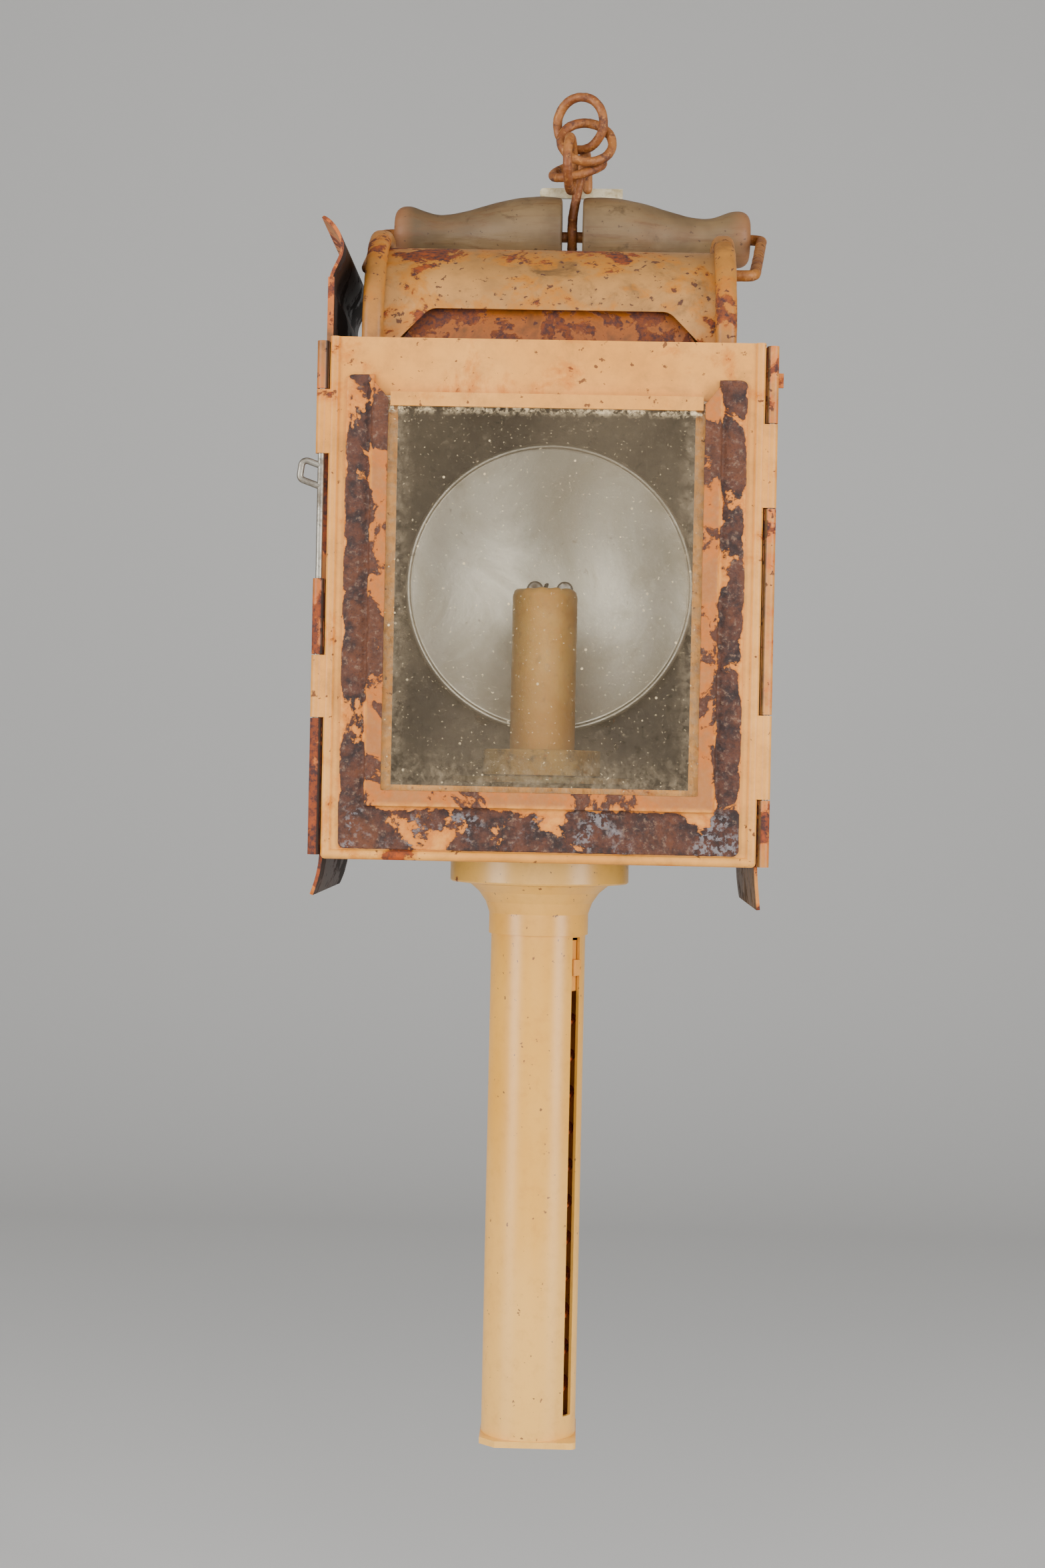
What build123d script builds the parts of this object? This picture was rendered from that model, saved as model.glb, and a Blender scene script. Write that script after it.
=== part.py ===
"""Candle lantern for a wagon: tin case, sprung candle tube, wire bail and chain.

Frame: X right, the glass faces -Y, Z up. X = 0 is the middle of the case, Y = 0 the outside of its back,
Z = 0 the middle of the front frame. All sizes in mm.
"""
from build123d import *
import os
from math import cos, sin, radians

os.makedirs("parts", exist_ok=True)

# ---- case ----
SHEET = 1.0                     # sheet iron
CASE_X = 63.0                   # half width of the case shell
CASE_Y = -94.0                  # front edge of the case shell
HALF_H = 78.5                   # half height of the front frame
FRAME_X = 65.4                  # half width of the front frame
FRAME_Y = -95.0                 # front face of the front frame
GLASS_X = 44.7                  # half width of the glass opening
GLASS_LOW, GLASS_HIGH = -55.8, 58.0
BEAD = 3.0                      # rolled edge of the front frame
# ---- hinges and doors ----
PIN_X, PIN_Y = 67.6, -94.4
KNUCKLE_R = 1.7
PIN_R = 1.0
RUNNING = 0.1                   # radial clearance of a running fit
LEFT_KNUCKLES = [(62.8, 77.1), (43.3, 62.5), (-17.0, 5.7), (-36.0, -17.3), (-77.3, -36.3)]
RIGHT_KNUCKLES = [(54.6, 77.7), (29.3, 54.3), (-32.6, 29.0), (-58.0, -32.9), (-78.3, -58.3)]
DOOR_X = (65.0, 66.0)           # inner and outer face of a door
DOOR_Y = (-91.5, -3.0)
# ---- tube unit ----
TUBE_Y = -47.5                  # the tube, the hood and the bail pivots share this depth
TUBE_R = 15.0
TUBE_WALL = 1.0
TUBE_LOW, TUBE_HIGH = -261.0, -52.0
SLOT_W = 4.0
SLOT_ANGLE = 55.0               # degrees from the front toward +X
CANDLE_R = 10.55
CANDLE_LOW, CANDLE_HIGH = -108.0, 7.8
# ---- hood ----
HOOD_R = 36.0
HOOD_Z = HALF_H
# ---- bail and grip ----
PIVOT_Z = 108.2
ARM = 65.0
ARM_RISE = 22.0                 # degrees above level, pointing back
BAIL_R = 1.85
GRIP_Y = TUBE_Y + ARM * cos(radians(ARM_RISE))
GRIP_Z = PIVOT_Z + ARM * sin(radians(ARM_RISE))
# ---- chain ----
RING_R = 8.75                   # radius of a ring's wire centre line
RING_WIRE = 1.6


def block(x0, x1, y0, y1, z0, z1):
    return Pos((x0 + x1) / 2, (y0 + y1) / 2, (z0 + z1) / 2) * Box(abs(x1 - x0), abs(y1 - y0), abs(z1 - z0))


def post(x, y, z0, z1, r):
    """An upright cylinder."""
    return Pos(x, y, (z0 + z1) / 2) * Cylinder(r, z1 - z0)


def bar(p, q, r):
    """A cylinder between two points."""
    a, b = Vector(*p), Vector(*q)
    return Plane(origin=(a + b) / 2, z_dir=b - a) * Cylinder(r, (b - a).length)


def pipe(x, y, z0, z1, r_out, r_in):
    return post(x, y, z0, z1, r_out) - post(x, y, z0 - 1, z1 + 1, r_in)


def wire(path, r):
    """Round wire along a path."""
    start = Plane(origin=path @ 0, z_dir=path % 0)
    return sweep(start * Circle(r), path=path)


def along_y(face_points, y0, y1):
    """A closed outline in X and Z, made solid from y0 to y1."""
    outline = Plane.XZ.offset(-y1) * make_face(Polyline(*face_points, close=True))
    return extrude(outline, amount=y1 - y0)


def export(shape, node):
    export_step(shape, f"parts/{node}.step")


# ---------------------------------------------------------------- case
def case_shell():
    """Back and sides; each side has a large window that its door covers."""
    outer = block(-CASE_X, CASE_X, CASE_Y, 0, -77.5, 77.5)
    inner = block(-CASE_X + SHEET, CASE_X - SHEET, CASE_Y - 5, -SHEET, -80, 80)
    windows = block(-80, 80, -80, -14, -64, 64)
    return outer - inner - windows


def floor_plate():
    plate = block(-CASE_X, CASE_X, CASE_Y, 0, -HALF_H, -77.5)
    return plate - post(0, TUBE_Y, -80, -70, 20.0)


def roof_deck():
    """Flat top; the vent under the hood is a slot with round ends."""
    plate = block(-CASE_X, CASE_X, CASE_Y, 0, 77.5, HALF_H)
    vent = Pos(0, TUBE_Y, 78) * extrude(SlotOverall(76, 36), amount=2, both=True)
    return plate - vent


def front_frame():
    """Flat face with a rolled edge on three sides, side returns, and its share of the hinge knuckles."""
    face = block(-64, 64, FRAME_Y, FRAME_Y + SHEET, -77, HALF_H)
    face -= block(-GLASS_X, GLASS_X, -97, -90, GLASS_LOW, GLASS_HIGH)
    edge_x, edge_y, low = FRAME_X - BEAD / 2, -94.6, -HALF_H + BEAD / 2
    shape = face
    for side in (-1, 1):
        shape += post(side * edge_x, edge_y, low, HALF_H, BEAD / 2)
        shape += Pos(side * edge_x, edge_y, low) * Sphere(BEAD / 2)
        shape += block(side * CASE_X, side * (CASE_X + SHEET), CASE_Y - 0.5, -82, -77.4, 77.4)
    shape += bar((-edge_x, edge_y, low), (edge_x, edge_y, low), BEAD / 2)
    # folded lip that holds the top of the pane
    shape += block(-46.8, 46.8, -97.9, -97.0, GLASS_HIGH - 0.3, 61.8)
    shape += block(-46.8, 46.8, -97.9, FRAME_Y, 60.9, 61.8)
    for side, spans in ((-1, (LEFT_KNUCKLES[1], LEFT_KNUCKLES[3])), (1, (RIGHT_KNUCKLES[1], RIGHT_KNUCKLES[3]))):
        for z0, z1 in spans:
            shape += block(side * 64, side * PIN_X, -95.7, -94.8, z0, z1)
            shape += post(side * PIN_X, PIN_Y, z0, z1, KNUCKLE_R)
            shape -= post(side * PIN_X, PIN_Y, z0 - 1, z1 + 1, PIN_R if side > 0 else PIN_R + RUNNING)
    return shape - block(-CASE_X, CASE_X, CASE_Y, -70, -90, 90)


def glass_retainer():
    """U of stepped sheet: a flange on the frame, a step, and a raised lip over the pane's edge."""
    top = 67.2
    flange = block(-60.2, 60.2, FRAME_Y - 0.9, FRAME_Y, -75.3, top)
    flange = fillet(flange.edges().filter_by(Axis.Y), 2.0)
    flange -= block(-51.6, 51.6, -99, -90, -61.6, 80)
    raised = block(-52.5, 52.5, -97.9, FRAME_Y, -62.4, top)
    raised = chamfer(raised.faces().sort_by(Axis.Y)[0].edges().filter_by(Axis.Z), 0.7)
    raised -= block(-51.6, 51.6, -97.0, -90, -61.6, 80)
    raised -= block(-47.4, 47.4, -99, -90, -57.4, 80)
    # the lip's upper ends are mitred down towards the pane
    for side in (-1, 1):
        mitre = [(side * 53, 66.6), (side * 44, 55.6), (side * 44, 80), (side * 53, 80)]
        raised -= along_y(mitre, -100, -90)
    return flange + raised


def front_glass():
    return block(-51.4, 51.4, -97.0, FRAME_Y, -61.4, 60.7)


def reflector():
    """Shallow bowl with a flat middle that is riveted to the back."""
    rim_r, depth, flat_y, t = 48.0, 9.0, -SHEET, 0.7
    ball_r = (rim_r ** 2 + depth ** 2) / (2 * depth)
    bowl = Sphere(ball_r) - Sphere(ball_r - t)
    bowl &= Pos(0, 0, -ball_r + depth / 2) * Cylinder(rim_r, depth)
    rim = Pos(0, 0, -ball_r + depth - 0.4) * Torus(rim_r - 0.6, 1.0)
    disc = Pos(0, 0, -ball_r + t / 2) * Cylinder(9.0, t)
    dish = bowl + rim + disc
    for x in (-5, 5):
        dish -= Pos(x, 0, -ball_r) * Cylinder(1.5, 10)
        dish -= Pos(x, 0, -ball_r + t + 1) * Cylinder(2.9, 2)
    seat = Plane(origin=(0.8, flat_y, 10.6), x_dir=(1, 0, 0), z_dir=(0, -1, 0))
    return seat * (Pos(0, 0, ball_r) * dish)


def reflector_rivets():
    """Two rivets through the reflector's flat middle and the back."""
    out = []
    for x in (-5, 5):
        shank = bar((0.8 + x, -1.7, 10.6), (0.8 + x, 0.0, 10.6), 1.5)
        head = Plane(origin=(0.8 + x, -1.7, 10.6), z_dir=(0, -1, 0)) * extrude(Circle(2.8), amount=1.1)
        out.append(shank + fillet(head.faces().sort_by(Axis.Y)[0].edges(), 0.8))
    return out


def drill_back(shape, points, r):
    for x, z in points:
        shape -= bar((x, -3, z), (x, 3, z), r)
    return shape


# ---------------------------------------------------------------- doors
def door_sheet(side, profile):
    """Door wall from an outline in X and Z that runs up its middle; side is -1 for left."""
    t = SHEET / 2
    line = Spline(*[(side * x, z) for x, z in profile]) if len(profile) > 2 else Line(*[
        (side * x, z) for x, z in profile])
    left, right = [], []
    steps = 12 * (len(profile) - 1)
    for i in range(steps + 1):
        p, d = line @ (i / steps), line % (i / steps)
        left.append((p.X - d.Y * t, p.Y + d.X * t))
        right.append((p.X + d.Y * t, p.Y - d.X * t))
    a, b = Spline(*left), Spline(*right)
    outline = make_face([a, Line(a @ 1, b @ 1), b, Line(b @ 0, a @ 0)])
    return extrude(Plane.XZ.offset(-DOOR_Y[1]) * outline, amount=DOOR_Y[1] - DOOR_Y[0])


def door_knuckles(side, spans):
    shape = None
    for z0, z1 in spans:
        part = post(side * PIN_X, PIN_Y, z0, z1, KNUCKLE_R)
        part += block(side * (DOOR_X[1] - 0.3), side * (DOOR_X[1] + 0.8), PIN_Y, -90.0, z0, z1)
        part -= post(side * PIN_X, PIN_Y, z0 - 1, z1 + 1, PIN_R + RUNNING)
        shape = part if shape is None else shape + part
    return shape


def round_corner(shape, y, z, r, dy, dz):
    """Rounds one corner of a sheet that stands across X; dy and dz point to the corner's outside."""
    square = block(-80, 80, y, y - dy * r, z, z - dz * r)
    disc = bar((-80, y - dy * r, z - dz * r), (80, y - dy * r, z - dz * r), r)
    return shape - (square - disc)


def left_door():
    """Door with a finger lip below and, above the case, the tall S that springs against the bail."""
    wall = door_sheet(-1, [(68.3, -89.6), (66.4, -83.5), (65.5, -76)])
    wall += block(-DOOR_X[1], -DOOR_X[0], *DOOR_Y, -76, 92)
    wall += door_sheet(-1, [(65.5, 92), (65.4, 98.8), (62.8, 105.8), (64.3, 110.8), (69.0, 115.4)])
    wall = round_corner(wall, DOOR_Y[0], 116, 2.5, -1, 1)
    wall = round_corner(wall, DOOR_Y[1], 116, 7, 1, 1)
    wall = round_corner(wall, DOOR_Y[0], -91, 3.5, -1, -1)
    wall = round_corner(wall, DOOR_Y[1], -91, 6, 1, -1)
    hem = block(-DOOR_X[1] - 0.9, -DOOR_X[0], -91.6, -88.8, -76, 97)
    knuckles = door_knuckles(-1, (LEFT_KNUCKLES[0], LEFT_KNUCKLES[2], LEFT_KNUCKLES[4]))
    return wall + hem + knuckles


def right_door():
    """Door whose top ends level with the case, where its catch has broken away."""
    wall = block(DOOR_X[0], DOOR_X[1], *DOOR_Y, -76, 77.8)
    wall += door_sheet(1, [(66.8, -91.4), (66.0, -84), (65.5, -76)])
    wall = round_corner(wall, DOOR_Y[0], -92, 3, -1, -1)
    wall = round_corner(wall, DOOR_Y[1], -92.5, 8, 1, -1)
    hem = block(DOOR_X[0], DOOR_X[1] + 0.9, -91.6, -88.8, -76, 77.8)
    tab = block(DOOR_X[1] - 0.3, 71.0, -91.5, -90.4, 65.9, 70.2)
    knuckles = door_knuckles(1, (RIGHT_KNUCKLES[0], RIGHT_KNUCKLES[2], RIGHT_KNUCKLES[4]))
    return wall + hem + tab + knuckles


def left_hinge_pin():
    """Pull-out wire pin with a finger loop bent outward."""
    x = -PIN_X
    shape = post(x, PIN_Y, -51.5, 77.1, PIN_R)
    corners = [(x, PIN_Y, 33.3), (x - 6.4, PIN_Y, 35.6), (x - 5.6, PIN_Y, 41.6), (x, PIN_Y, 39.6)]
    loop = FilletPolyline(*corners, radius=1.6)
    return shape + wire(loop, PIN_R)


def right_hinge_pin():
    return post(PIN_X, PIN_Y, -78.2, 77.6, PIN_R)


# ---------------------------------------------------------------- hood
def half_ring(r_out, r_in, x0, x1):
    """Half a tube along X standing on the roof deck."""
    face = Circle(r_out) - Circle(r_in) if r_in else Circle(r_out)
    tube = extrude(Plane(origin=(x0, TUBE_Y, HOOD_Z), x_dir=(0, 1, 0), z_dir=(1, 0, 0)) * face, amount=x1 - x0)
    return tube & block(-80, 80, -120, 30, HOOD_Z, 130)


def hood_shell():
    """Barrel roof with a wide opening low in the front and a matching one in the back."""
    shell = half_ring(HOOD_R, HOOD_R - 0.8, -53, 53)
    opening = Plane.XZ * make_face(FilletPolyline((-47.3, 70), (-47.3, 78.6), (-36.5, 90), (36.5, 90), (47.3, 78.6),
                                                  (47.3, 70), close=True, radius=5))
    return shell - extrude(opening, amount=120, both=True)


def hood_end():
    """Right end plate with a thick rounded rim; the bail turns in its hole."""
    rim = Plane(origin=(53.7, TUBE_Y + 38.75, HOOD_Z), x_dir=(1, 0, 0), z_dir=(0, 0, 1)) * RectangleRounded(
        6.6, 5.5, 2.5)
    arch = revolve(rim, Axis((0, TUBE_Y, HOOD_Z), (1, 0, 0)), revolution_arc=360)
    arch &= block(-80, 80, -120, 30, HOOD_Z, 130)
    plate = half_ring(HOOD_R + 1.0, 0, 53.0, 54.2)
    hole = bar((50, TUBE_Y, PIVOT_Z), (60, TUBE_Y, PIVOT_Z), BAIL_R + 0.2)
    return arch + plate - half_ring(HOOD_R, HOOD_R - 0.8, 50, 53) - hole


def hood_baffle():
    """Inner curved sheet that keeps rain off the flame; its ends are rounded off above the deck."""
    outline = Plane.XZ * make_face(FilletPolyline((-45, 70), (-45, 80.5), (-37, 91.5), (-37, 120), (37, 120),
                                                  (37, 91.5), (45, 80.5), (45, 70), close=True, radius=6))
    return half_ring(33.2, 32.4, -46, 46) & extrude(outline, amount=120, both=True)


# ---------------------------------------------------------------- bail, grip and chain
def bail_plane():
    rise = radians(ARM_RISE)
    return Plane(origin=(0, TUBE_Y, PIVOT_Z), x_dir=(1, 0, 0), z_dir=(0, -sin(rise), cos(rise)))


def bail_wire():
    path = bail_plane() * FilletPolyline((-47.5, 0), (-59.4, 0), (-59.4, ARM), (70.6, ARM), (64.5, 0), (51.0, 0),
                                         radius=3.6)
    return wire(path, BAIL_R)


def grip_half(x_in, x_out):
    """Turned wooden half: full at the middle, a neck, then a rounded end."""
    way = 1 if x_out > x_in else -1
    bore = BAIL_R + 0.25
    swell = [(0.6, 13.3), (7, 13.5), (17, 12.5), (28, 9.7), (36, 7.5), (41.5, 6.85), (46.5, 7.8), (51, 9.4)]
    top = Spline(*[(x_in + way * x, r) for x, r in swell])
    end = Spline((x_in + way * 51, 9.4), (x_in + way * 54.6, 9.3), (x_out, 6.6))
    outline = make_face([
        Line((x_in, bore), (x_in, 12.9)), Line((x_in, 12.9), top @ 0), top, end,
        Line((x_out, 6.6), (x_out, bore)), Line((x_out, bore), (x_in, bore))])
    turned = revolve(outline, Axis.X)
    return Pos(0, GRIP_Y, GRIP_Z) * turned


def chain_hook():
    """Eye around the bail between the grip halves, a leaning shank, and a bend over the first ring."""
    eye = Plane(origin=(HOOK_X, GRIP_Y, GRIP_Z), z_dir=(1, 0, 0)) * Torus(BAIL_R + 0.35 + HOOK_R, HOOK_R)
    path = Spline(*HOOK_PATH)
    return eye + wire(path, HOOK_R) + Pos(*HOOK_PATH[-1]) * Sphere(HOOK_R)


def cross_bar():
    """Short flat bar held at the end of the hook."""
    x, y, z = HOOK_PATH[-1]
    shape = block(BAR_X - 14.3, BAR_X + 14.3, y - 0.8, y + 0.8, BAR_Z - 1.7, BAR_Z + 1.7)
    shape = fillet(shape.edges().filter_by(Axis.Y).group_by(Axis.X)[0], 1.5)
    return shape - wire(Spline(*HOOK_PATH), HOOK_R) - Pos(x, y, z) * Sphere(HOOK_R)


def chain_ring(centre, *turns):
    """A round welded ring; the last turn is made first."""
    ring = Torus(RING_R, RING_WIRE)
    for turn in reversed(turns):
        ring = Rot(*turn) * ring
    return Pos(*centre) * ring


# ---------------------------------------------------------------- tube unit
def spun(points):
    """A solid of revolution about the tube's axis from (radius, height) points."""
    outline = Plane.XZ * make_face(Polyline(*points, close=True))
    return Pos(0, TUBE_Y, 0) * revolve(outline, Axis.Z)


def tube_socket():
    """Collar that covers the spigot, then a hollow cone down to the neck around the tube."""
    outer = [(28.4, -79.0), (28.4, -85.6), (27.9, -86.1), (22.2, -86.7), (19.2, -89.2), (17.0, -92.4), (15.8, -95.9),
             (15.8, -102.4)]
    inner = [(TUBE_R, -102.4), (TUBE_R, -92.6), (16.2, -91.2), (18.4, -88.2), (21.6, -85.6), (27.4, -85.2),
             (27.4, -79.0)]
    return spun(outer + inner)


def spigot_ring():
    """Ring soldered under the floor; the collar slips over it."""
    return spun([(27.0, -HALF_H), (27.0, -84.4), (26.0, -84.4), (26.0, -79.4), (20.0, -79.4), (20.0, -HALF_H)])


def guide_sleeve():
    """Sleeve inside the case that steers the tube, with a wide drip flange on top."""
    return spun([(21.2, -77.5), (21.2, -55.0), (28.4, -54.4), (28.4, -52.6), (27.6, -52.6), (27.6, -53.6),
                 (20.2, -54.0), (20.2, -77.5)])


def slot_cutter(z0, z1):
    cutter = block(-SLOT_W / 2, SLOT_W / 2, -TUBE_R - 3, -TUBE_R + 4, z0, z1)
    return Pos(0, TUBE_Y, 0) * (Rot(0, 0, SLOT_ANGLE) * cutter)


def candle_tube():
    tube = pipe(0, TUBE_Y, TUBE_LOW, TUBE_HIGH, TUBE_R, TUBE_R - TUBE_WALL)
    return tube - slot_cutter(-254.0, -103.0)


def tube_base():
    """Square foot plate with one clipped corner and a spigot inside the tube."""
    h = 15.25
    corners = [(-h, -h + 5), (-h + 5, -h), (h, -h), (h, h), (-h, h)]
    plate = Pos(0, TUBE_Y, TUBE_LOW - 2) * extrude(make_face(Polyline(*corners, close=True)), amount=2)
    plate = fillet(plate.edges().filter_by(Axis.Z).sort_by(lambda e: e.center().X - e.center().Y)[-1], 2.0)
    return plate + post(0, TUBE_Y, TUBE_LOW, TUBE_LOW + 3, TUBE_R - TUBE_WALL)


def tube_cap():
    """Cap on top of the tube; the candle stands up through it."""
    return spun([(18.6, -44.4), (18.2, -44.0), (12.0, -44.0), (12.0, -46.0), (TUBE_R, -47.0), (TUBE_R - 1, -52.0),
                 (TUBE_R, -52.0), (TUBE_R, -56.0), (16.0, -56.0), (16.0, -52.4), (18.6, -52.0)])


def follower():
    """Cup under the candle with a tab that shows in the slot."""
    cup = spun([(13.7, -120.0), (13.7, -104.0), (11.0, -104.0), (11.0, CANDLE_LOW), (0, CANDLE_LOW), (0, -117.0),
                (12.9, -117.0), (12.9, -120.0)])
    tab = block(-1.5, 1.5, -TUBE_R - 0.8, -13.0, -115.0, -110.0)
    return cup + Pos(0, TUBE_Y, 0) * (Rot(0, 0, SLOT_ANGLE) * tab)


def follower_spring():
    """Coil that pushes the follower up."""
    low, high, r = TUBE_LOW + 3.8, -117.8, 0.75
    coil = Pos(0, TUBE_Y, low) * Helix(pitch=(high - low) / 12, height=high - low, radius=12.0)
    return wire(coil, r)


def candle():
    body = post(0, TUBE_Y, CANDLE_LOW, CANDLE_HIGH, CANDLE_R)
    body = fillet(body.faces().sort_by(Axis.Z)[-1].edges(), 2.0)
    return body - Pos(0, TUBE_Y, CANDLE_HIGH + 9.4) * Sphere(11.0)


def wick():
    foot = CANDLE_HIGH - 1.5
    path = Spline((0, TUBE_Y, foot), (0.2, TUBE_Y, foot + 4), (1.8, TUBE_Y - 0.4, foot + 8))
    return wire(path, 0.8)


# ---------------------------------------------------------------- rear bracket
def rear_bracket():
    """Strap folded into a flat upright socket that drops over a wagon's bracket blade."""
    shape = block(-13.5, 13.5, 0, 8.5, -42, 42) + block(-26, 26, 0, 1.5, -42, 42)
    shape -= block(-12, 12, -1, 7.0, -50, 50)
    for x, z in BRACKET_RIVETS:
        shape -= bar((x, -3, z), (x, 3, z), 2.0)
    return shape


def bracket_rivets():
    out = []
    for x, z in BRACKET_RIVETS:
        shank = bar((x, -SHEET, z), (x, 1.5, z), 2.0)
        inside = bar((x, -SHEET - 1.0, z), (x, -SHEET, z), 3.4)
        outside = bar((x, 1.5, z), (x, 3.0, z), 3.4)
        out.append(shank + inside + outside)
    return out


BRACKET_RIVETS = [(x, z) for x in (-20.5, 20.5) for z in (-32, 32)]
HOOK_R = 1.7
HOOK_X = 5.7
HOOK_PATH = [(5.7, GRIP_Y + 0.6, GRIP_Z + 3.6), (6.2, GRIP_Y, 142.0), (8.0, 13.05, 152.0), (9.1, 13.15, 159.3),
             (9.38, 14.26, 162.0), (9.66, 16.95, 163.11), (9.94, 19.63, 162.0), (10.22, 20.75, 159.3),
             (10.6, 20.85, 150.6)]
BAR_X, BAR_Z = 8.5, 149.4
RINGS = {
    "chain_link_1": ((7.19, 9.66, 155.11), (0, -16.15, 0), (24.76, 0, 0)),
    "chain_link_2": ((4.71, -1.42, 154.28), (0, 0, -6.41), (2.88, 0, 0), (0, 90, 0)),
    "chain_link_3": ((10.02, 3.75, 162.91), (0, 0, 5.07), (61.04, 0, 0)),
    "chain_link_4": ((7.73, 6.86, 170.05), (0, 0, -26.41), (97.05, 0, 0)),
}

shell = drill_back(case_shell(), [(0.8 - 5, 10.6), (0.8 + 5, 10.6)], 1.5)
export(drill_back(shell, BRACKET_RIVETS, 2.0), "case_shell")
export(floor_plate(), "floor_plate")
export(roof_deck(), "roof_deck")
export(front_frame(), "front_frame")
export(glass_retainer(), "glass_retainer")
export(front_glass(), "front_glass")
export(reflector(), "reflector")
export(Compound(children=reflector_rivets()), "reflector_rivets")
export(left_door(), "left_door")
export(right_door(), "right_door")
export(left_hinge_pin(), "left_hinge_pin")
export(right_hinge_pin(), "right_hinge_pin")
export(hood_shell(), "hood_shell")
export(mirror(hood_end(), Plane.YZ), "hood_end_left")
export(hood_end(), "hood_end_right")
export(hood_baffle(), "hood_baffle")
export(bail_wire(), "bail_wire")
export(grip_half(2.2, -55.1), "grip_left")
export(grip_half(9.2, 66.5), "grip_right")
export(chain_hook(), "chain_hook")
export(cross_bar(), "cross_bar")
for name, placing in RINGS.items():
    export(chain_ring(*placing), name)
export(tube_socket(), "tube_socket")
export(spigot_ring(), "spigot_ring")
export(guide_sleeve(), "guide_sleeve")
export(candle_tube(), "candle_tube")
export(tube_base(), "tube_base")
export(tube_cap(), "tube_cap")
export(follower(), "follower")
export(follower_spring(), "follower_spring")
export(candle(), "candle")
export(wick(), "wick")
export(rear_bracket(), "rear_bracket")
export(Compound(children=bracket_rivets()), "bracket_rivets")
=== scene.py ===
"""Looks of the candle lantern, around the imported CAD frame. Metres; X right, glass faces -Y, Z up."""
import bpy
import bmesh
from math import cos, sin, pi, radians
from mathutils import Matrix, Vector, noise


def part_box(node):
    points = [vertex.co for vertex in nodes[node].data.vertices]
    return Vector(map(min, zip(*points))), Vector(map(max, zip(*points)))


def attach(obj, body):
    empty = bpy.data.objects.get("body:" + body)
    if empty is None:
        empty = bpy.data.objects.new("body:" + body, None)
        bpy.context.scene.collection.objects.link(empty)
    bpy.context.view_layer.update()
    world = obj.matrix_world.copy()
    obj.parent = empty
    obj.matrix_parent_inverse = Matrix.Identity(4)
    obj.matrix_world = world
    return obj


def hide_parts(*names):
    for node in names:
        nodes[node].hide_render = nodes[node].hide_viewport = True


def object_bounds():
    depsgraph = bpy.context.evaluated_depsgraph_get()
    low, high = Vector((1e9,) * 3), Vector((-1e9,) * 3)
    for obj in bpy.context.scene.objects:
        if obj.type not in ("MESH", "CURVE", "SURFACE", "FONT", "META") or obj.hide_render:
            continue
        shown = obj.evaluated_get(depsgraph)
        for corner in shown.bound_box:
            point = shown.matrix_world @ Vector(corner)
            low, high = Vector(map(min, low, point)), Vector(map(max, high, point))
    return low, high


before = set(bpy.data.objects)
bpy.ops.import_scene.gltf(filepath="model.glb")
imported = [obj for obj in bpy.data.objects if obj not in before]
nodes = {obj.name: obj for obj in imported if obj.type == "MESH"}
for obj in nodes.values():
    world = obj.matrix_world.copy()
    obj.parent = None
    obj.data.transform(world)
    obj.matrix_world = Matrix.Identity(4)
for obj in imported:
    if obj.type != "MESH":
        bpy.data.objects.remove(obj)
cad_box = [list(p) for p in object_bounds()]
MM = 0.001
EDGE = 0.0002                   # width over which one look turns into another at a face's edge
DRAW_ROOM = 0.104               # room under the lantern for the tube drawn down


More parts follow.
